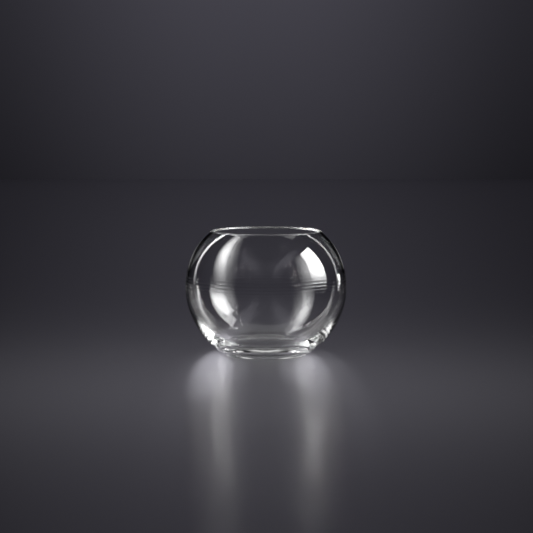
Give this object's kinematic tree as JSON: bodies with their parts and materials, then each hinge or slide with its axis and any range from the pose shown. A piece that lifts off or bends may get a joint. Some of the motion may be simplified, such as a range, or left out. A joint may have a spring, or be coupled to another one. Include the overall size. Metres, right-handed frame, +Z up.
{
  "type": "rose bowl vase",
  "caption": "Low round vase of clear thin blown glass with a thick base and a wide fire-polished mouth, for short-stemmed or floating flowers.",
  "frame": {"origin": "centre of the bearing ring under the bowl, on the surface it stands on", "axes": "+Z up along the bowl's axis of revolution; X and Y are interchangeable"},
  "size_m": [0.152, 0.152, 0.1176],
  "materials": {
    "clear_glass": "blown and fire-polished, colourless"
  },
  "bodies": {
    "root": {"glass_bowl": "clear_glass"}
  },
  "joints": []
}
